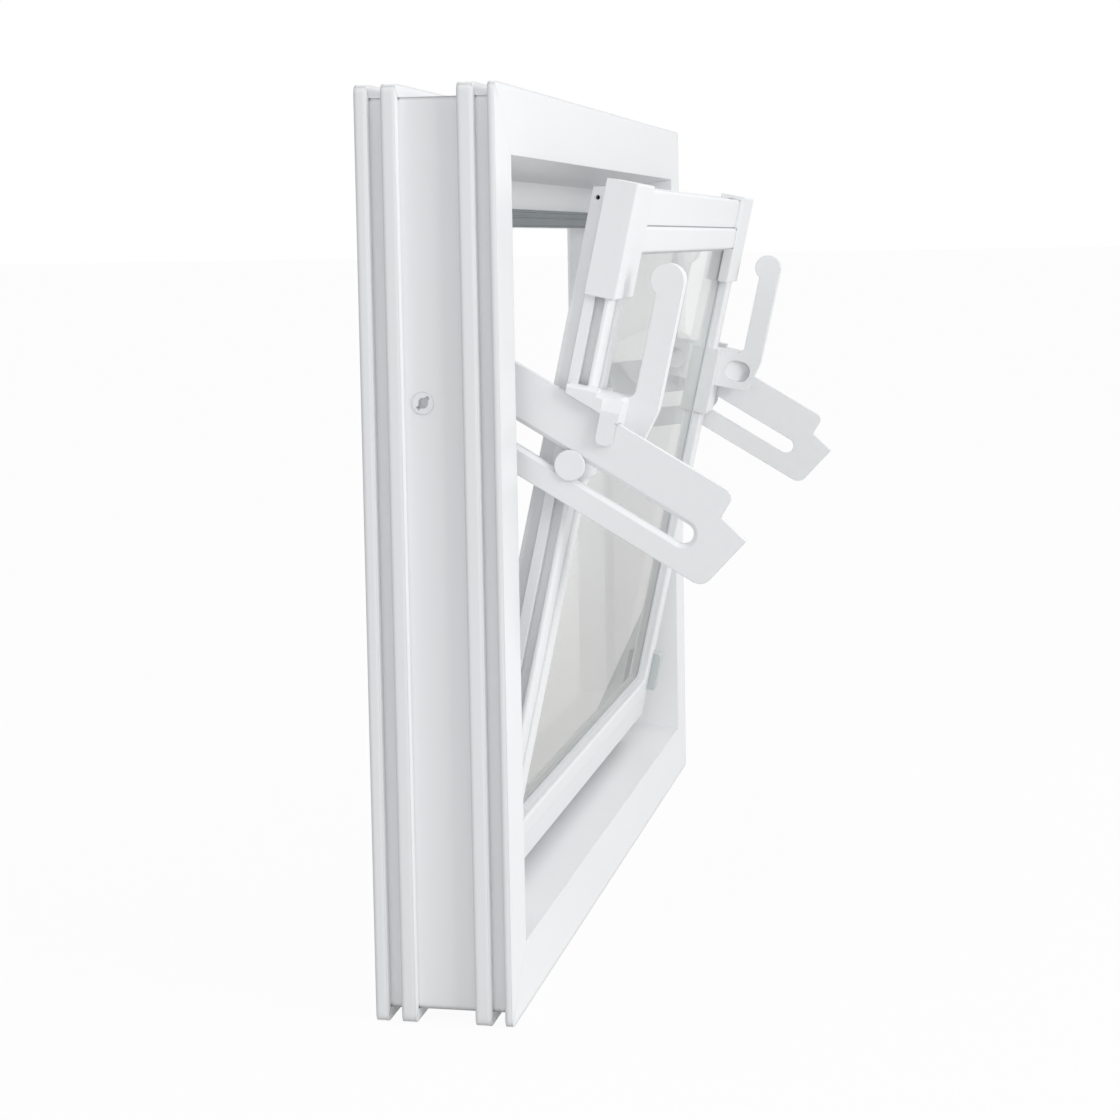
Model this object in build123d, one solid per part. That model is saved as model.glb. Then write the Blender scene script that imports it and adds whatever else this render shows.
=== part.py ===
from build123d import *
import math
import os

# Small PVC hopper window, sash tilted open into the room on two slotted stays.
# X runs along the width, -Y points into the room, +Y outdoors, +Z up.
# The origin lies on the underside of the rib that the frame stands on, at mid-width.

# Frame, overall
frame_width = 500.0
frame_height = 400.0
frame_depth = 60.0
corner_radius = 4.0

# Frame section: ribs counted from the outdoor face, heights from the outer edge
rib_1_width = 5.0
rib_2_start = 11.5
rib_2_width = 6.0
rib_3_width = 6.5
rib_3_groove = 6.5
room_flange = 3.0
rib_height = 5.5
stop_depth = 17.0
stop_height = 58.5
reveal_at_room = 29.5
reveal_at_stop = 35.0
lip_chamfer = 2.0
frame_wall = 2.8
first_chamber_width = 17.7

# Seal on the room side of the stop
seal_width = 9.0
seal_thickness = 3.5
seal_bevel = 1.2

# Sash section: depths counted from its outdoor face, heights from its outer edge
sash_side_gap = 45.0
sash_height = 323.0
sash_front = 17.5
sash_face = 28.5
sash_leg = 6.0
sash_leg_inset = 1.2
sash_leg_slope = 1.4
sash_leg_lip = 1.6
sash_groove_start = 10.8
sash_groove_width = 4.4
sash_groove_depth = 4.0
sash_round = 1.3
sash_joint = 0.8
sash_wall = 2.2
sash_hole_radius = 1.0
sash_hole_drop = 7.0
sash_seal_gap = 1.5
hinge_height = 40.0
sash_tilt = 12.5

# Glass and beads
glass_start = 9.5
glass_thickness = 4.0
glass_seat_gap = 0.1
glass_pocket = 17.5
glass_edge_gap = 1.0
bead_start = 16.5
bead_proud = 1.5
bead_round = 1.5

# Caps over the top corners of the sash
cap_wall = 2.0
cap_front_wall = 2.5
cap_width = 44.5
cap_length = 50.5
cap_back = 6.0
cap_glass_gap = 0.3
cap_round = 1.0

# Stays: flat slotted plates, measured along and across from their pivot
stay_gap = 0.5
stay_thickness = 5.0
stay_above = 29.9
stay_below = 11.7
stay_shoulder = 14.0
stay_step = 130.3
stay_step_height = 18.3
stay_tip = 144.8
stay_tip_height = 15.0
stay_heel = 138.9
stay_end_radius = 7.5
stay_heel_radius = 6.0
stay_corner_radius = 4.0
slot_start = 20.0
slot_end = 124.5
slot_centre = 3.9
slot_width = 9.0
slot_bevel = 1.75
pivot_before_stop = 8.4
pivot_height = 266.9

# Pivot pins of the stays
pin_radius = 4.0
pin_clearance = 0.05
pin_head_radius = 6.5
pin_head_thickness = 1.4
pin_collar_radius = 5.5
ring_radius = 4.8
ring_height = 0.4
key_radius = 2.2
key_slit_width = 1.6
key_slit_length = 7.0
key_depth = 3.0

# Knobs that run in the slots, placed on the sash
knob_radius = 6.8
knob_thickness = 1.2
knob_chamfer = 0.4
knob_clearance = 0.2
knob_depth = 15.8
knob_height = 201.5

# Clips on the sash stiles, heights counted from the knobs: a base, a hood above the stay
# and a tongue outside it
clip_below_knob = 6.5
clip_above_knob = 34.5
clip_back = 8.0
clip_round = 1.5
clip_over_bead = 1.5
clip_front_wall = 2.5
web_above_knob = 32.5
web_front = 33.0
web_inner = 12.0
tongue_back = 24.6
tongue_width = 7.4
tongue_thickness = 3.0
tongue_above_knob = 11.7
tongue_round = 2.5
tongue_slope_height = 6.0

# Latch levers on the clips, heights counted from the knobs
lever_start = 8.0
lever_width = 10.0
lever_above_knob = 10.5
lever_toe = 41.0
lever_toe_height = 18.5
lever_back = 35.0
lever_thickness = 11.0
lever_fillet = 4.0
lever_head_above_knob = 85.5
lever_head_radius = 6.4
lever_head_offset = 2.7
lever_scoop_width = 14.5
lever_scoop_height = 12.0
lever_scoop_round = 5.5
lever_scoop_depth = 6.0
lever_scoop_step = 0.8
lever_scoop_wall = 5.0

# Small blocks on the front of the stiles, near the hinges
block_start = 4.0
block_width = 11.0
block_bottom = 20.5
block_height = 22.5
block_thickness = 5.8
block_round = 2.5

# Hinge blocks under the sash
hinge_block_length = 30.0
hinge_block_inset = 8.0
hinge_block_recess = 7.0
hinge_block_depth = 10.0

# Derived places
half_width = frame_width / 2
rib_3_start = frame_depth - room_flange - rib_3_groove - rib_3_width
outdoor_y = rib_3_start + rib_3_width / 2
sash_width = frame_width - 2 * sash_side_gap
cap_front = sash_front + cap_front_wall
bead_front = sash_front + bead_proud
bead_back = glass_start + glass_thickness + 2 * glass_seat_gap
clip_front = bead_front + clip_front_wall
clip_bottom = knob_height - clip_below_knob
clip_top = knob_height + clip_above_knob
web_top = knob_height + web_above_knob
tongue_bottom = knob_height + tongue_above_knob
lever_bottom = knob_height + lever_above_knob
lever_head_height = knob_height + lever_head_above_knob
hinge_depth = stop_depth + seal_thickness + sash_seal_gap + cap_front
pivot_depth = stop_depth + pivot_before_stop
hinge_y = outdoor_y - hinge_depth
pivot_y = outdoor_y - pivot_depth
sash_side_x = -sash_width / 2
cap_side_x = sash_side_x - cap_wall
stay_inner_x = cap_side_x - stay_gap
stay_outer_x = stay_inner_x - stay_thickness
reveal_slope = (reveal_at_stop - reveal_at_room) / (frame_depth - stop_depth)
sash_place = Pos(0, hinge_y, hinge_height) * Rot(sash_tilt, 0, 0)

# Each stay leans so that the middle line of its slot passes through the knob
knob_spot = (sash_place * Pos(0, cap_front - knob_depth, knob_height)).position
knob_reach = math.hypot(pivot_y - knob_spot.Y, pivot_height - knob_spot.Z)
knob_along = math.sqrt(knob_reach ** 2 - slot_centre ** 2)
knob_fall = math.atan2(pivot_height - knob_spot.Z, pivot_y - knob_spot.Y)
stay_slope = math.degrees(knob_fall + math.asin(slot_centre / knob_reach))
stay_place = Pos(0, pivot_y, pivot_height) * Rot(stay_slope, 0, 0)


# A bar of a mitred ring: it lies on z = 0, runs along x and its section grows upwards.
# The section is drawn with the depth as its first and the height as its second number.
def mitred_bar(section, length, height):
    bar = extrude(section, length / 2, both=True)
    outline = Polyline((-length / 2, 0), (length / 2, 0), (length / 2 - height, height),
                       (-length / 2 + height, height), close=True)
    wedge = extrude(Plane.XZ * make_face(outline), frame_width, both=True)
    return bar & wedge


def section_face(points):
    return make_face(Polyline(*points, close=True))


def rounded_at(face, corner, radius):
    vertex = face.vertices().sort_by_distance((corner[0], corner[1], 0))[0]
    return fillet(vertex, radius)


# Stands a drawn section upright: its first number runs towards the room from outdoor_side.
def stood_up(section, outdoor_side):
    upright = Plane(origin=(0, outdoor_side, 0), x_dir=(0, -1, 0), z_dir=(-1, 0, 0))
    return upright.location * section


def turned_to(side, bar, width, height):
    if side == "bottom":
        return bar
    if side == "top":
        return Pos(0, 0, height) * Rot(0, 180, 0) * bar
    turn = 90 if side == "left" else -90
    offset = -width / 2 if side == "left" else width / 2
    return Pos(offset, 0, height / 2) * Rot(0, turn, 0) * bar


def side_length(side, width, height):
    return width if side in ("top", "bottom") else height


def box_between(low, high):
    size = [b - a for a, b in zip(low, high)]
    return Pos(*low) * Box(*size, align=(Align.MIN, Align.MIN, Align.MIN))


def reveal_height(depth):
    return reveal_at_room + (frame_depth - depth) * reveal_slope


# Hollow frame section with three grooved ribs outside, a sloped reveal and a stop inside.
def frame_section():
    rib_1_end = rib_1_width
    rib_2_end = rib_2_start + rib_2_width
    rib_3_end = rib_3_start + rib_3_width
    flange_start = frame_depth - room_flange
    outer = section_face([
        (0, 0), (rib_1_end, 0), (rib_1_end, rib_height), (rib_2_start, rib_height),
        (rib_2_start, 0), (rib_2_end, 0), (rib_2_end, rib_height), (rib_3_start, rib_height),
        (rib_3_start, 0), (rib_3_end, 0), (rib_3_end, rib_height), (flange_start, rib_height),
        (flange_start, 0), (frame_depth, 0), (frame_depth, reveal_at_room),
        (stop_depth, reveal_at_stop), (stop_depth, stop_height),
        (lip_chamfer, stop_height), (0, stop_height - lip_chamfer)])
    floor = rib_height + frame_wall
    web_place = stop_depth + frame_wall + first_chamber_width
    chambers = [
        [(frame_wall, floor), (stop_depth - frame_wall, floor),
         (stop_depth - frame_wall, stop_height - frame_wall),
         (frame_wall, stop_height - frame_wall - lip_chamfer)],
        [(stop_depth + frame_wall, floor), (web_place, floor),
         (web_place, reveal_height(web_place) - frame_wall),
         (stop_depth + frame_wall, reveal_height(stop_depth + frame_wall) - frame_wall)],
        [(web_place + frame_wall, floor), (flange_start, floor),
         (flange_start, reveal_height(flange_start) - frame_wall),
         (web_place + frame_wall, reveal_height(web_place + frame_wall) - frame_wall)]]
    for chamber in chambers:
        outer -= section_face(chamber)
    return stood_up(outer, outdoor_y)


def rounded_outline():
    outline = Pos(0, 0, frame_height / 2) * (Plane.XZ * RectangleRounded(
        frame_width, frame_height, corner_radius))
    return extrude(outline, frame_width, both=True)


def frame_bar(side):
    bar = mitred_bar(frame_section(), side_length(side, frame_width, frame_height), stop_height)
    bar = turned_to(side, bar, frame_width, frame_height) & rounded_outline()
    if side in ("left", "right"):
        bar -= mirrored_to(side, pivot_hole())
    return bar


# The seal strip stands on the stop with a bevelled room edge.
def seal_bar(side):
    seal_front = stop_depth + seal_thickness
    section = section_face([
        (stop_depth, stop_height - seal_width), (seal_front, stop_height - seal_width),
        (seal_front, stop_height - seal_bevel), (seal_front - seal_bevel, stop_height),
        (stop_depth, stop_height)])
    bar = mitred_bar(stood_up(section, outdoor_y),
                     side_length(side, frame_width, frame_height), stop_height)
    return turned_to(side, bar, frame_width, frame_height)


# Right-hand fittings are the mirror image of the left-hand ones.
def mirrored_to(side, solid):
    return solid if side == "left" else mirror(solid, Plane.YZ)


def sash_y(e):
    return cap_front - e


# Hollow sash section: outdoor leg, hardware groove, rounded front edge and glass rebate.
def sash_section():
    groove_end = sash_groove_start + sash_groove_width
    lip_low = sash_leg_inset + sash_leg_slope
    face = section_face([
        (sash_front, 0), (sash_front, bead_start - sash_joint),
        (sash_front - sash_joint, bead_start), (bead_back, bead_start),
        (bead_back, glass_pocket), (glass_start, glass_pocket), (glass_start, sash_face),
        (0, sash_face), (0, lip_low), (sash_leg_lip, lip_low), (sash_leg, sash_leg_inset),
        (sash_leg, 0),
        (sash_groove_start, 0), (sash_groove_start, sash_groove_depth),
        (groove_end, sash_groove_depth), (groove_end, 0)])
    face = rounded_at(face, (sash_front, 0), sash_round)
    back_end = glass_start - sash_wall
    back_low = lip_low + sash_wall
    back_chamber = section_face([
        (sash_wall, back_low), (back_end, back_low),
        (back_end, sash_face - sash_wall), (sash_wall, sash_face - sash_wall)])
    front_low = sash_groove_depth + sash_wall
    front_end = sash_front - sash_wall
    front_chamber = section_face([
        (glass_start, front_low), (front_end, front_low),
        (front_end, bead_start - sash_wall), (glass_start, bead_start - sash_wall)])
    return stood_up(face - back_chamber - front_chamber, cap_front)


def sash_bar(side):
    bar = mitred_bar(sash_section(), side_length(side, sash_width, sash_height), sash_face)
    bar = turned_to(side, bar, sash_width, sash_height)
    if side in ("left", "right"):
        hole_depth = sash_leg_inset + sash_leg_slope + sash_wall
        hole_place = Pos(sash_side_x, sash_y(sash_leg / 2), sash_height - sash_hole_drop)
        hole = hole_place * Rot(0, 90, 0) * Cylinder(sash_hole_radius, 2 * hole_depth)
        bar -= mirrored_to(side, hole)
    return sash_place * bar


def bead_bar(side):
    section = section_face([
        (bead_front, sash_face), (bead_front, bead_start),
        (bead_back, bead_start), (bead_back, sash_face)])
    section = rounded_at(section, (bead_front, sash_face), bead_round)
    section = rounded_at(section, (bead_front, bead_start), bead_round)
    bar = mitred_bar(stood_up(section, cap_front), side_length(side, sash_width, sash_height), sash_face)
    return sash_place * turned_to(side, bar, sash_width, sash_height)


def glass_pane():
    inset = glass_pocket + glass_edge_gap
    return sash_place * box_between(
        (sash_side_x + inset, sash_y(bead_back - glass_seat_gap), inset),
        (-sash_side_x - inset, sash_y(glass_start + glass_seat_gap), sash_height - inset))


# The space that the sash bars, the beads and the glass fill, in the sash's own plane.
def sash_space():
    pane_front = bead_back + cap_glass_gap
    bars = box_between((sash_side_x, sash_y(sash_front), 0), (-sash_side_x, sash_y(0), sash_height))
    beads = box_between((sash_side_x + bead_start, sash_y(bead_front), bead_start),
                        (-sash_side_x - bead_start, sash_y(sash_front), sash_height - bead_start))
    opening = box_between((sash_side_x + sash_face, sash_y(bead_front), sash_face),
                          (-sash_side_x - sash_face, sash_y(pane_front), sash_height - sash_face))
    return bars + beads - opening


# A cap wraps the side, the top and the front of a sash corner and reaches to the glass.
def corner_cap(side):
    top = sash_height + cap_wall
    cap = box_between((cap_side_x, sash_y(cap_front), top - cap_length),
                      (cap_side_x + cap_width, sash_y(cap_back), top))
    cap = fillet(cap.edges().group_by(Axis.Y)[0], cap_round)
    return sash_place * mirrored_to(side, cap - sash_space())


# Points of a stay are drawn with the first number along it and the second across it.
# Along runs into the room and across runs up, so they become -y and z before the turn.
def stay_point(along, across):
    return (-along, across)


def stay_outline():
    shoulder = stay_point(stay_shoulder, stay_above)
    step = stay_point(stay_step, stay_above)
    heel = stay_point(stay_heel, -stay_below)
    face = section_face([
        stay_point(-stay_end_radius, 0), shoulder, step,
        stay_point(stay_step, stay_step_height), stay_point(stay_tip, stay_tip_height),
        heel, stay_point(stay_shoulder, -stay_below)])
    face = rounded_at(face, step, stay_corner_radius)
    face = rounded_at(face, heel, stay_heel_radius)
    return rounded_at(face, shoulder, stay_heel_radius)


def slot_face(width):
    length = slot_end - slot_start
    middle = (slot_start + slot_end) / 2
    return Pos(*stay_point(middle, slot_centre)) * SlotOverall(length - slot_width + width, width)


# A stay: plate with a long slot, bevelled on its outer side, and a round eye at its pivot.
def stay(side):
    across_plane = Plane(origin=(0, 0, 0), x_dir=(0, 1, 0), z_dir=(1, 0, 0))
    plate = extrude(stay_outline() + Circle(stay_end_radius), stay_thickness)
    slot = extrude(slot_face(slot_width), stay_thickness)
    bevel = loft([Pos(0, 0, slot_bevel) * slot_face(slot_width), slot_face(slot_width + 2 * slot_bevel)])
    eye = extrude(Circle(pin_radius + pin_clearance), stay_thickness)
    plate = plate - slot - bevel - eye
    plate = Pos(stay_outer_x, 0, 0) * (across_plane.location * plate)
    return mirrored_to(side, stay_place * plate)


def pivot_hole():
    reach = half_width - sash_width / 2
    return Pos(-half_width, pivot_y, pivot_height) * Rot(0, 90, 0) * Cylinder(
        pin_radius + pin_clearance, reach, align=(Align.CENTER, Align.CENTER, Align.MIN))


def x_cylinder(radius, start, end):
    return Pos(start, pivot_y, pivot_height) * Rot(0, 90, 0) * Cylinder(
        radius, end - start, align=(Align.CENTER, Align.CENTER, Align.MIN))


# A pivot pin: head inside the plate, collar against the reveal, keyed end in the outer channel.
def stay_pivot(side):
    channel_x = -half_width + rib_height
    reveal_x = -half_width + reveal_height(pivot_depth - pin_collar_radius)
    pin = x_cylinder(pin_radius, channel_x, stay_inner_x)
    collar = x_cylinder(pin_collar_radius, reveal_x, stay_outer_x)
    head = x_cylinder(pin_head_radius, stay_inner_x, stay_inner_x + pin_head_thickness)
    ring = x_cylinder(ring_radius, channel_x - ring_height, channel_x)
    key = x_cylinder(key_radius, channel_x - ring_height, channel_x + key_depth)
    slit = Pos(channel_x, pivot_y, pivot_height) * Rot(45, 0, 0) * Box(
        2 * key_depth, key_slit_width, key_slit_length)
    return mirrored_to(side, pin + collar + head + ring - key - slit)


# A knob: flat head outside the stay and a shank through its slot to the clip.
def stay_knob(side):
    to_disc = (Align.CENTER, Align.CENTER, Align.MIN)
    head_start = stay_outer_x - knob_clearance - knob_thickness
    head = Pos(0, 0, head_start) * Cylinder(knob_radius, knob_thickness, align=to_disc)
    head = chamfer(head.edges().group_by(Axis.Z)[0], knob_chamfer)
    shank_start = head_start + knob_thickness
    shank = Pos(0, 0, shank_start) * Cylinder(
        slot_width / 2 - knob_clearance, cap_side_x - shank_start, align=to_disc)
    place = stay_place * Pos(0, -knob_along, slot_centre) * Rot(0, 90, 0)
    return mirrored_to(side, place * (head + shank))


# The half-space under the upper edge of a stay, from one x to another, with some clearance.
def under_stay_edge(low_x, high_x):
    return stay_place * box_between((low_x, -2 * stay_tip, -2 * stay_tip),
                                    (high_x, 2 * stay_tip, stay_above + stay_gap))


# A clip: base on the side and front of a stile, hood above the stay, tongue outside the stay.
def stay_clip(side):
    tongue_x = stay_outer_x - stay_gap - tongue_thickness
    side_plate = box_between((cap_side_x, sash_y(clip_front), clip_bottom),
                             (sash_side_x, sash_y(clip_back), clip_top))
    front_plate = box_between((sash_side_x, sash_y(clip_front), clip_bottom),
                              (sash_side_x + sash_face + clip_over_bead, sash_y(glass_start), web_top))
    hood = box_between((tongue_x, sash_y(clip_front), clip_bottom),
                       (sash_side_x, sash_y(clip_back), clip_top))
    hood = fillet(hood.edges().filter_by(Axis.Y).group_by(Axis.Z)[-1], clip_round)
    web = box_between((tongue_x, sash_y(web_front), lever_bottom),
                      (sash_side_x + web_inner, sash_y(cap_front), web_top))
    web = fillet(web.edges().group_by(Axis.Z)[-1], clip_round)
    tongue = box_between((tongue_x, sash_y(tongue_back + tongue_width), tongue_bottom),
                         (tongue_x + tongue_thickness, sash_y(tongue_back), web_top - clip_round))
    tongue = fillet(tongue.edges().filter_by(Axis.X).group_by(Axis.Z)[0], tongue_round)
    slope_outline = Polyline((tongue_x, web_top - tongue_slope_height), (tongue_x, web_top),
                             (tongue_x + tongue_thickness, web_top), close=True)
    slope = Pos(0, sash_y(tongue_back), 0) * extrude(Plane.XZ * make_face(slope_outline), frame_depth)
    raised = sash_place * (hood + web - slope) - under_stay_edge(-half_width, cap_side_x)
    base = sash_place * (side_plate + front_plate - sash_space())
    lever_room = sash_place * box_between(
        (sash_side_x + lever_start, sash_y(2 * lever_back), 0), (0, sash_y(clip_front), sash_height))
    clip = raised + base + sash_place * (tongue - slope) - lever_room
    return mirrored_to(side, clip)


# A scooped recess in the inner side of a lever's foot, deepest at its room end.
def lever_scoop():
    start = lever_toe - lever_scoop_width
    middle = lever_bottom + lever_scoop_wall + lever_scoop_height / 2
    outline = Pos((start + lever_toe) / 2, middle) * RectangleRounded(
        lever_scoop_width, lever_scoop_height, lever_scoop_round)
    wedge_outline = Polyline((start, 0), (lever_toe, 0), (lever_toe, lever_scoop_depth),
                             (start, lever_scoop_step), close=True)
    wedge = Pos(0, middle, 0) * extrude(
        Plane.XZ * make_face(wedge_outline), lever_scoop_height, both=True)
    return extrude(outline, lever_scoop_depth) & wedge


# A latch lever: a foot on the clip's base and an arm that ends in a rounded hook.
def latch_lever(side):
    front = lever_back + lever_thickness
    low_x = sash_side_x + lever_start
    bend = (lever_back, web_top)
    toe = (front, lever_bottom + lever_toe_height)
    face = section_face([
        (clip_front, lever_bottom), (lever_toe, lever_bottom), toe, (front, lever_head_height),
        (lever_back, lever_head_height), bend, (clip_front, web_top)])
    face = rounded_at(face, bend, lever_fillet)
    face = rounded_at(face, toe, 2 * lever_thickness)
    head = Pos(lever_back + lever_head_offset, lever_head_height) * Circle(lever_head_radius)
    tip_radius = (lever_thickness - lever_head_offset + lever_head_radius) / 2
    tip = Pos(front - tip_radius, lever_head_height) * Circle(tip_radius)
    lever = extrude(face + head + tip, -lever_width) - Pos(0, 0, -lever_width) * lever_scoop()
    side_plane = Plane(origin=(low_x, cap_front, 0), x_dir=(0, -1, 0), z_dir=(-1, 0, 0))
    return sash_place * mirrored_to(side, side_plane.location * lever)


# A small block stands on the front of a stile near its bottom corner.
def foot_block(side):
    low_x = sash_side_x + block_start
    block = box_between((low_x, sash_y(sash_front + block_thickness), block_bottom),
                        (low_x + block_width, sash_y(sash_front), block_bottom + block_height))
    top_front = block.edges().filter_by(Axis.X).group_by(Axis.Z)[-1].sort_by(Axis.Y)[0]
    block = fillet(top_front, block_round)
    return sash_place * mirrored_to(side, block)


# A hinge block stands on the bottom reveal and carries the sash near its corner.
def hinge_block(side):
    low_x = sash_side_x + hinge_block_inset
    low_y = hinge_y + cap_front - sash_front + hinge_block_recess
    block = box_between((low_x, low_y, 0),
                        (low_x + hinge_block_length, low_y + hinge_block_depth, frame_height / 2))
    below = section_face([(0, 0), (frame_depth, 0), (frame_depth, reveal_at_room),
                          (stop_depth, reveal_at_stop), (0, reveal_at_stop)])
    above = sash_place * box_between((-half_width, -frame_depth, 0),
                                     (half_width, frame_depth, frame_height))
    block = block - extrude(stood_up(below, outdoor_y), frame_width, both=True) - above
    return mirrored_to(side, block)


def write_parts():
    sides = ("left", "right")
    ring_sides = ("top", "bottom", "left", "right")
    bar_names = {"top": "top_rail", "bottom": "bottom_rail", "left": "left_stile", "right": "right_stile"}
    parts = {"glass_pane": glass_pane()}
    for side in ring_sides:
        parts["frame_" + bar_names[side]] = frame_bar(side)
        parts["frame_seal_" + side] = seal_bar(side)
        parts["sash_" + bar_names[side]] = sash_bar(side)
        parts["glazing_bead_" + side] = bead_bar(side)
    for side in sides:
        parts["corner_cap_" + side] = corner_cap(side)
        parts["stay_" + side] = stay(side)
        parts["stay_pivot_" + side] = stay_pivot(side)
        parts["stay_knob_" + side] = stay_knob(side)
        parts["stay_clip_" + side] = stay_clip(side)
        parts["latch_lever_" + side] = latch_lever(side)
        parts["foot_block_" + side] = foot_block(side)
        parts["hinge_block_" + side] = hinge_block(side)
    os.makedirs("parts", exist_ok=True)
    for name, solid in parts.items():
        export_step(solid, "parts/" + name + ".step")


write_parts()
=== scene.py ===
import math
import bpy
from mathutils import Euler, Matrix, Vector


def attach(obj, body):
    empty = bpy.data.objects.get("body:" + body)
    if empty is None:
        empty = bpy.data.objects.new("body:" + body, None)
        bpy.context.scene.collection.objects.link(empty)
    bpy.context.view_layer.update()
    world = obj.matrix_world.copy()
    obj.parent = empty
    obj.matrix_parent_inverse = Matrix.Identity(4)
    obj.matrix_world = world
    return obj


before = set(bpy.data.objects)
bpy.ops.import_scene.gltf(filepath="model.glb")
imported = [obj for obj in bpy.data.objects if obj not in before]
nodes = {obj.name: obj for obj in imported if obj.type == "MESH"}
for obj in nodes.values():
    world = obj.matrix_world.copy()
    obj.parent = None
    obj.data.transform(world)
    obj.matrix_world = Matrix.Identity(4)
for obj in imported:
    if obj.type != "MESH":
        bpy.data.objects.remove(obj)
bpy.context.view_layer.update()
print("frame loaded:", len(nodes), "nodes")


# Node helpers

def toLinear(hexColour):
    parts = [int(hexColour[i:i + 2], 16) / 255 for i in (0, 2, 4)]
    linear = [c / 12.92 if c <= 0.04045 else ((c + 0.055) / 1.055) ** 2.4 for c in parts]
    return (*linear, 1.0)


def addNode(tree, kind, settings=None, links=None):
    node = tree.nodes.new(kind)
    for name, value in (settings or {}).items():
        if isinstance(name, str) and hasattr(node, name):
            setattr(node, name, value)
        else:
            node.inputs[name].default_value = value
    for name, (source, output) in (links or {}).items():
        tree.links.new(source.outputs[output], node.inputs[name])
    return node


def newMaterial(name, settings):
    material = bpy.data.materials.new(name)
    material.use_nodes = True
    tree = material.node_tree
    tree.nodes.clear()
    shader = addNode(tree, "ShaderNodeBsdfPrincipled", settings)
    addNode(tree, "ShaderNodeOutputMaterial", {}, {"Surface": (shader, "BSDF")})
    return material, tree, shader


def tintShader(tree, shader, first, second, factor):
    tint = addNode(tree, "ShaderNodeMix",
                   {"data_type": "RGBA", 6: toLinear(first), 7: toLinear(second)}, {0: factor})
    tree.links.new(tint.outputs[2], shader.inputs["Base Color"])


# Extruded rigid PVC: smooth, softly glossy, with faint die lines that run along the bar
profilePvc = {
    "colour": "f4f5f7",
    "warmer": "f1f2f2",
    "cloudsPerMetre": 9.0,
    "roughness": 0.34,
    "ior": 1.53,
    "dieLineMm": 2.2,        # real ones are about 0.2 mm apart, drawn coarser so that they show
    "lineLengthMm": 900,
    "lineDepthMm": 0.008,
    "lineStrength": 0.2,
    "ribRoundMm": 2.6,       # the outer ribs of the frame look well rounded, all else is crisper
    "ribDepthMm": 5.6,
    "ribSamples": 12,
    "edgeRoundMm": 0.7,
    "edgeSamples": 8,
}


def addEdgeRound(tree, place, along, outerEdge):
    p = profilePvc
    edge = addNode(tree, "ShaderNodeBevel",
                   {"samples": p["edgeSamples"], "Radius": p["edgeRoundMm"] / 1000})
    if not outerEdge:
        return edge, "Normal"
    # the wide round only on what lies within the depth of the ribs
    centre, reach = outerEdge
    axes = addNode(tree, "ShaderNodeSeparateXYZ", {}, {"Vector": (place, "Object")})
    shifted = addNode(tree, "ShaderNodeMath", {"operation": "SUBTRACT", 1: centre},
                      {0: (axes, "Z" if along == 0 else "X")})
    away = addNode(tree, "ShaderNodeMath", {"operation": "ABSOLUTE"}, {0: (shifted, "Value")})
    onRib = addNode(tree, "ShaderNodeMath",
                    {"operation": "GREATER_THAN", 1: reach - p["ribDepthMm"] / 1000},
                    {0: (away, "Value")})
    rib = addNode(tree, "ShaderNodeBevel",
                  {"samples": p["ribSamples"], "Radius": p["ribRoundMm"] / 1000})
    chosen = addNode(tree, "ShaderNodeMix", {"data_type": "VECTOR"},
                     {0: (onRib, "Value"), 4: (edge, "Normal"), 5: (rib, "Normal")})
    return chosen, 1


def makeProfilePvc(name, along, outerEdge=None, tilt=0.0):
    p = profilePvc
    material, tree, shader = newMaterial(name, {"Roughness": p["roughness"], "IOR": p["ior"]})
    place = addNode(tree, "ShaderNodeTexCoord")
    turned = addNode(tree, "ShaderNodeMapping", {"Rotation": (math.radians(-tilt), 0, 0)},
                     {"Vector": (place, "Object")})
    scale = [1000 / p["dieLineMm"]] * 3
    scale[along] = 1000 / p["lineLengthMm"]
    stretched = addNode(tree, "ShaderNodeMapping", {"Scale": scale},
                        {"Vector": (turned, "Vector")})
    lines = addNode(tree, "ShaderNodeTexNoise", {"Scale": 1.0, "Detail": 2.0, "Roughness": 0.5},
                    {"Vector": (stretched, "Vector")})
    cloud = addNode(tree, "ShaderNodeTexNoise", {"Scale": p["cloudsPerMetre"], "Detail": 3.0},
                    {"Vector": (place, "Object")})
    tintShader(tree, shader, p["colour"], p["warmer"], (cloud, "Fac"))
    bump = addNode(tree, "ShaderNodeBump",
                   {"Strength": p["lineStrength"], "Distance": p["lineDepthMm"] / 1000},
                   {"Height": (lines, "Fac"),
                    "Normal": addEdgeRound(tree, place, along, outerEdge)})
    tree.links.new(bump.outputs["Normal"], shader.inputs["Normal"])
    return material


# Injection moulded nylon: a little softer than the profile, with a fine spark-eroded grain
mouldedNylon = {
    "white": "f1f2f3",
    # grey for the foot blocks is painted shade: it darkens them as if they sat in shadow
    "grey": "c8cfce",
    "roughness": 0.42,
    "ior": 1.53,
    "grainMm": 0.7,          # real grain is about 0.1 mm, drawn coarser so that it shows
    "grainDepthMm": 0.012,
    "grainStrength": 0.4,
    "edgeRoundMm": 0.8,
    "edgeSamples": 4,
    "glow": 0.04,            # thin walls let a little light through
    "glowMm": 4,
}


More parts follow.
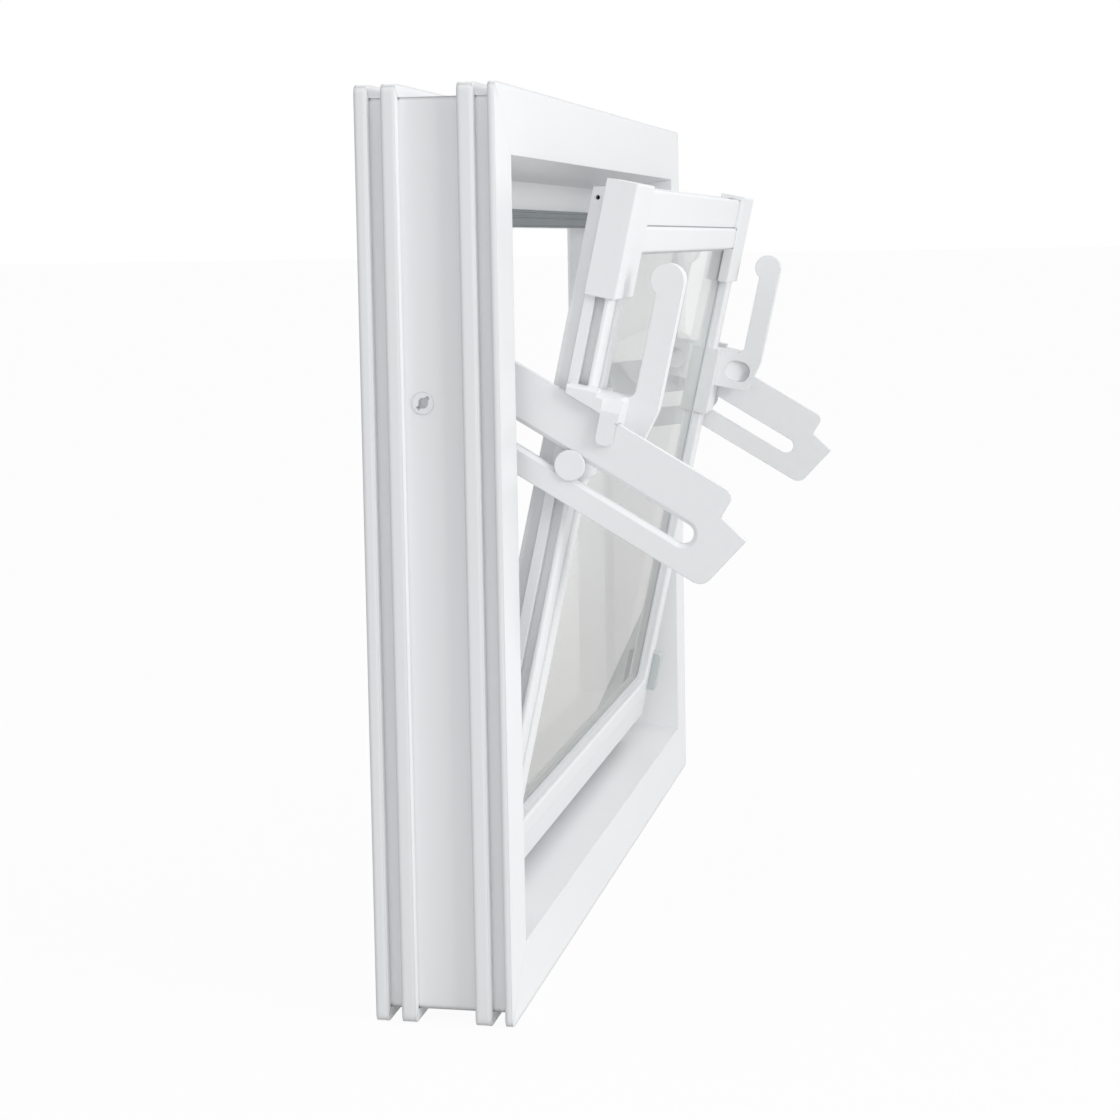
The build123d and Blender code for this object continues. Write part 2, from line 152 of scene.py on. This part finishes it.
def makeMouldedNylon(name, colour):
    p = mouldedNylon
    material, tree, shader = newMaterial(name, {
        "Base Color": toLinear(colour), "Roughness": p["roughness"], "IOR": p["ior"],
        "Subsurface Weight": p["glow"], "Subsurface Scale": p["glowMm"] / 1000})
    place = addNode(tree, "ShaderNodeTexCoord")
    grain = addNode(tree, "ShaderNodeTexNoise", {"Scale": 1000 / p["grainMm"], "Detail": 2.0},
                    {"Vector": (place, "Object")})
    edge = addNode(tree, "ShaderNodeBevel",
                   {"samples": p["edgeSamples"], "Radius": p["edgeRoundMm"] / 1000})
    bump = addNode(tree, "ShaderNodeBump",
                   {"Strength": p["grainStrength"], "Distance": p["grainDepthMm"] / 1000},
                   {"Height": (grain, "Fac"), "Normal": (edge, "Normal")})
    tree.links.new(bump.outputs["Normal"], shader.inputs["Normal"])
    return material


# Extruded soft seal: matt rubber with a faint bloom, grey on the frame and pale at the glass
softSeal = {
    "grey": ("8e9397", "979ca0"),
    "pale": ("d3d6d8", "dcdfe1"),
    "roughness": 0.62,
    "ior": 1.5,
    "bloomMm": 25,
}


def makeSoftSeal(name, colours):
    p = softSeal
    material, tree, shader = newMaterial(name, {"Roughness": p["roughness"], "IOR": p["ior"]})
    place = addNode(tree, "ShaderNodeTexCoord")
    bloom = addNode(tree, "ShaderNodeTexNoise", {"Scale": 1000 / p["bloomMm"], "Detail": 4.0},
                    {"Vector": (place, "Object")})
    tintShader(tree, shader, *colours, (bloom, "Fac"))
    return material


# Float glass, one pane: clear and mirrors the room at a low angle; the grey towards its foot is
# a painted reflection of darker surroundings
floatGlass = {
    "head": "e5e8e6",
    # painted reflection: the grey the pane fades to at its foot
    "foot": "a5a6a2",
    "headHeight": 0.29,
    "footHeight": 0.08,
    "ior": 1.52,
    "filmMm": 60,            # a thin film of dust that blurs the pane in patches
    "filmFrom": 0.45,
    "filmTo": 0.8,
    "filmRoughness": 0.05,
}


def makeFloatGlass():
    p = floatGlass
    material, tree, shader = newMaterial("floatGlass",
                                         {"IOR": p["ior"], "Transmission Weight": 1.0})
    place = addNode(tree, "ShaderNodeTexCoord")
    axes = addNode(tree, "ShaderNodeSeparateXYZ", {}, {"Vector": (place, "Object")})
    height = addNode(tree, "ShaderNodeMapRange",
                     {"interpolation_type": "SMOOTHSTEP",
                      "From Min": p["footHeight"], "From Max": p["headHeight"]},
                     {"Value": (axes, "Z")})
    # painted reflection: the tint runs from the clear head colour down to the grey foot colour
    tintShader(tree, shader, p["foot"], p["head"], (height, "Result"))
    film = addNode(tree, "ShaderNodeTexNoise", {"Scale": 1000 / p["filmMm"], "Detail": 5.0},
                   {"Vector": (place, "Object")})
    haze = addNode(tree, "ShaderNodeMapRange",
                   {"From Min": p["filmFrom"], "From Max": p["filmTo"],
                    "To Min": 0.0, "To Max": p["filmRoughness"]},
                   {"Value": (film, "Fac")})
    tree.links.new(haze.outputs["Result"], shader.inputs["Roughness"])
    # lamps shine straight through the pane
    path = addNode(tree, "ShaderNodeLightPath")
    clearPath = addNode(tree, "ShaderNodeBsdfTransparent", {"Color": toLinear(p["head"])})
    both = addNode(tree, "ShaderNodeMixShader", {},
                   {0: (path, "Is Shadow Ray"), 1: (shader, "BSDF"), 2: (clearPath, "BSDF")})
    output = next(n for n in tree.nodes if n.type == "OUTPUT_MATERIAL")
    tree.links.new(both.outputs["Shader"], output.inputs["Surface"])
    return material


# Which bar gets which finish: lines along X or Z, turned with the sash where it leans

sashTilt = 12.5              # degrees, as the solids have it
outerHeads = (0.2, 0.2)      # middle of the frame and reach to its outer face, in Z
outerSides = (0.0, 0.25)     # the same in X

barX = makeProfilePvc("extrudedPvcAcross", 0, outerEdge=outerHeads)
barZ = makeProfilePvc("extrudedPvcUpright", 2, outerEdge=outerSides)
sashBarX = makeProfilePvc("extrudedPvcSashAcross", 0, tilt=sashTilt)
sashBarZ = makeProfilePvc("extrudedPvcSashUpright", 2, tilt=sashTilt)
nylon = makeMouldedNylon("mouldedNylon", mouldedNylon["white"])
# painted shade: the foot blocks get the darker grey nylon
footBlockShadeNylon = makeMouldedNylon("footBlockShadeNylon", mouldedNylon["grey"])
seal = makeSoftSeal("softSeal", softSeal["grey"])
paleSeal = makeSoftSeal("paleSoftSeal", softSeal["pale"])
glass = makeFloatGlass()


def finishFor(name):
    if name == "glass_pane":
        return glass
    if name.startswith("frame_seal"):
        return seal
    across = name.endswith(("top", "bottom", "top_rail", "bottom_rail"))
    if name.startswith(("sash", "glazing_bead")):
        return sashBarX if across else sashBarZ
    if name.startswith("frame"):
        return barX if across else barZ
    # the foot blocks take the grey nylon that is painted shade
    return footBlockShadeNylon if name.startswith("foot_block") else nylon


for name, part in nodes.items():
    part.data.materials.clear()
    part.data.materials.append(finishFor(name))
print("materials given to the frame, sash and fittings")


# Soft lips that run round the frame seal and round the glass, and a thin grey ring of painted
# shade in the joint of the beads:
# one ring each, in metres and degrees

sealLips = {
    "name": "seal_lips",
    "slot": "grey_seal",
    "width": 0.3935,
    "height": 0.2935,
    "corner": 0.0015,
    "count": 2,              # lips side by side
    "spacing": 0.0028,
    "radius": 0.0006,
    "turn": 90.0,
    "centre": (0, 0.02675, 0.2),
}
glassLip = {
    "name": "glass_lip",
    "slot": "grey_seal",
    "width": 0.3514,
    "height": 0.2644,
    "corner": 0.003,
    "count": 1,
    "spacing": 0.001,
    "radius": 0.0011,
    "turn": 90.0 + sashTilt,
    "centre": (0, -0.02346, 0.19906),
}
beadJointShadeLine = {
    "name": "bead_joint_shade_line",
    "slot": "grey_seal",
    "width": 0.3773,
    "height": 0.2903,
    "corner": 0.0005,
    "count": 1,
    "spacing": 0.001,
    "radius": 0.00035,       # thin; painted shade, it draws the shadow line in the joint between bead and sash
    "turn": 90.0 + sashTilt,
    "centre": (0, -0.02673, 0.19833),
}
lipSides = 12
cornerPoints = 5


def makeLipTree():
    tree = bpy.data.node_groups.new("lipRing", "GeometryNodeTree")
    tree.interface.new_socket("Geometry", in_out="OUTPUT", socket_type="NodeSocketGeometry")
    kinds = {"Width": "Float", "Height": "Float", "Corner": "Float", "Count": "Int",
             "Spacing": "Float", "Radius": "Float", "Turn": "Vector", "Centre": "Vector",
             "Finish": "Material"}
    for name, kind in kinds.items():
        tree.interface.new_socket(name, in_out="INPUT", socket_type="NodeSocket" + kind)
    enter = addNode(tree, "NodeGroupInput")
    loop = addNode(tree, "GeometryNodeCurvePrimitiveQuadrilateral", {},
                   {"Width": (enter, "Width"), "Height": (enter, "Height")})
    bent = addNode(tree, "GeometryNodeFilletCurve", {"mode": "POLY", "Count": cornerPoints},
                   {"Curve": (loop, "Curve"), "Radius": (enter, "Corner")})
    upright = addNode(tree, "GeometryNodeSetCurveNormal", {"mode": "Z_UP"},
                      {"Curve": (bent, "Curve")})
    lip = addNode(tree, "GeometryNodeCurvePrimitiveCircle", {"Resolution": lipSides},
                  {"Radius": (enter, "Radius")})
    step = addNode(tree, "ShaderNodeCombineXYZ", {}, {"X": (enter, "Spacing")})
    spots = addNode(tree, "GeometryNodeMeshLine", {},
                    {"Count": (enter, "Count"), "Offset": (step, "Vector")})
    lips = addNode(tree, "GeometryNodeInstanceOnPoints", {},
                   {"Points": (spots, "Mesh"), "Instance": (lip, "Curve")})
    section = addNode(tree, "GeometryNodeRealizeInstances", {},
                      {"Geometry": (lips, "Instances")})
    swept = addNode(tree, "GeometryNodeCurveToMesh", {},
                    {"Curve": (upright, "Curve"), "Profile Curve": (section, "Geometry")})
    placed = addNode(tree, "GeometryNodeTransform", {},
                     {"Geometry": (swept, "Mesh"), "Rotation": (enter, "Turn"),
                      "Translation": (enter, "Centre")})
    smooth = addNode(tree, "GeometryNodeSetShadeSmooth", {}, {"Geometry": (placed, "Geometry")})
    whole = addNode(tree, "GeometryNodeRealizeInstances", {},
                    {"Geometry": (smooth, "Geometry")})
    finished = addNode(tree, "GeometryNodeSetMaterial", {},
                       {"Geometry": (whole, "Geometry"), "Material": (enter, "Finish")})
    addNode(tree, "NodeGroupOutput", {}, {"Geometry": (finished, "Geometry")})
    return tree


def makeLip(tree, settings, finish):
    holder = bpy.data.objects.new(settings["name"] + "Maker", bpy.data.meshes.new("empty"))
    bpy.context.scene.collection.objects.link(holder)
    maker = holder.modifiers.new("lipRing", "NODES")
    maker.node_group = tree
    values = {name.capitalize(): value for name, value in settings.items()}
    values["Turn"] = (math.radians(settings["turn"]), 0, 0)
    values["Finish"] = finish
    for item in tree.interface.items_tree:
        if item.in_out == "INPUT":
            maker[item.identifier] = values[item.name]
    depsgraph = bpy.context.evaluated_depsgraph_get()
    mesh = bpy.data.meshes.new_from_object(holder.evaluated_get(depsgraph))
    bpy.data.objects.remove(holder)
    piece = bpy.data.objects.new(settings["name"], mesh)
    bpy.context.scene.collection.objects.link(piece)
    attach(piece, "root")
    size = [round(d, 4) for d in piece.dimensions]
    print(settings["name"], len(mesh.polygons), "faces", size)


lipTree = makeLipTree()
makeLip(lipTree, sealLips, seal)
makeLip(lipTree, glassLip, paleSeal)
# painted shade: a thin grey ring where the shadow of the bead joint falls
makeLip(lipTree, beadJointShadeLine, seal)


# Stage: floor, sky and lamps

stage = {
    "floor": "dcdcdc",
    "floorReach": 60.0,
    "floorDrop": 0.0005,     # just under the sill, so that the two don't flicker
    "floorLift": 0.95,       # share of plain white that the eye gets, the rest keeps the shadow
    "skyLight": 0.6,
    "skyColour": "f8f9fb",
    "lampAim": (0, 0, 0.2),
}
lamps = {
    "roomLamp": {"kind": "AREA", "from": (-0.72, -1.3, 0.66), "strength": 7.8, "size": 0.6},
    "topLamp": {"kind": "SUN", "from": (-0.3, -0.6, 2.4), "strength": 0.7, "softness": 70},
    # lights the outdoor side, and stays out of the pane's reflections
    "yardLamp": {"kind": "SUN", "from": (0.9, 1.7, 0.8), "strength": 0.55, "softness": 50,
                 "inGloss": False},
}


def whiteToTheEye(tree):
    path = addNode(tree, "ShaderNodeLightPath")
    seen = addNode(tree, "ShaderNodeMath", {"operation": "MAXIMUM"},
                   {0: (path, "Is Camera Ray"), 1: (path, "Is Transmission Ray")})
    return addNode(tree, "ShaderNodeMath", {"operation": "MAXIMUM"},
                   {0: (seen, "Value"), 1: (path, "Is Glossy Ray")})


def makeFloor():
    reach = stage["floorReach"]
    mesh = bpy.data.meshes.new("studioFloor")
    corners = [(-reach, -reach, 0), (reach, -reach, 0), (reach, reach, 0), (-reach, reach, 0)]
    mesh.from_pydata(corners, [], [(0, 1, 2, 3)])
    floor = bpy.data.objects.new("studioFloor", mesh)
    bpy.context.scene.collection.objects.link(floor)
    floor.location.z = -stage["floorDrop"]
    material = bpy.data.materials.new("paleFloor")
    material.use_nodes = True
    tree = material.node_tree
    tree.nodes.clear()
    matt = addNode(tree, "ShaderNodeBsdfDiffuse", {"Color": toLinear(stage["floor"])})
    glow = addNode(tree, "ShaderNodeEmission", {"Color": (1, 1, 1, 1), "Strength": 1.0})
    share = addNode(tree, "ShaderNodeMath", {"operation": "MULTIPLY", 1: stage["floorLift"]},
                    {0: (whiteToTheEye(tree), "Value")})
    lift = addNode(tree, "ShaderNodeMixShader", {},
                   {0: (share, "Value"), 1: (matt, "BSDF"), 2: (glow, "Emission")})
    addNode(tree, "ShaderNodeOutputMaterial", {}, {"Surface": (lift, "Shader")})
    mesh.materials.append(material)


def makeWorld():
    world = bpy.data.worlds.new("studioSky")
    bpy.context.scene.world = world
    world.use_nodes = True
    tree = world.node_tree
    tree.nodes.clear()
    light = addNode(tree, "ShaderNodeBackground",
                    {"Color": toLinear(stage["skyColour"]), "Strength": stage["skyLight"]})
    white = addNode(tree, "ShaderNodeBackground", {"Color": (1, 1, 1, 1), "Strength": 1.0})
    both = addNode(tree, "ShaderNodeMixShader", {},
                   {0: (whiteToTheEye(tree), "Value"), 1: (light, "Background"),
                    2: (white, "Background")})
    addNode(tree, "ShaderNodeOutputWorld", {}, {"Surface": (both, "Shader")})


def makeLamps():
    for name, lamp in lamps.items():
        light = bpy.data.lights.new(name, lamp["kind"])
        light.energy = lamp["strength"]
        if lamp["kind"] == "SUN":
            light.angle = math.radians(lamp["softness"])
        else:
            light.size = lamp["size"]
        holder = bpy.data.objects.new(name, light)
        holder.visible_glossy = lamp.get("inGloss", True)
        holder.location = lamp["from"]
        aim = Vector(stage["lampAim"]) - Vector(lamp["from"])
        holder.rotation_euler = aim.to_track_quat("-Z", "Y").to_euler()
        bpy.context.scene.collection.objects.link(holder)


camera = {
    "place": (-1.1709, -0.22868, 0.33291),
    "turn": (84.8745, 0.9947, -78.3807),
    "lens": 73.399,
    "sensor": 36.0,
    "shift": (0.0, -0.1),    # a rise, so that upright lines lean less
    "nearest": 0.01,
}


def makeCamera():
    lens = bpy.data.cameras.new("photoView")
    lens.lens = camera["lens"]
    lens.sensor_width = camera["sensor"]
    lens.sensor_fit = "HORIZONTAL"
    lens.shift_x, lens.shift_y = camera["shift"]
    lens.clip_start = camera["nearest"]
    holder = bpy.data.objects.new("photoView", lens)
    holder.location = camera["place"]
    holder.rotation_euler = Euler([math.radians(a) for a in camera["turn"]])
    bpy.context.scene.collection.objects.link(holder)
    bpy.context.scene.camera = holder


makeFloor()
makeWorld()
makeLamps()
makeCamera()
bpy.context.scene.view_settings.view_transform = "Standard"
print("stage, lamps and camera made")
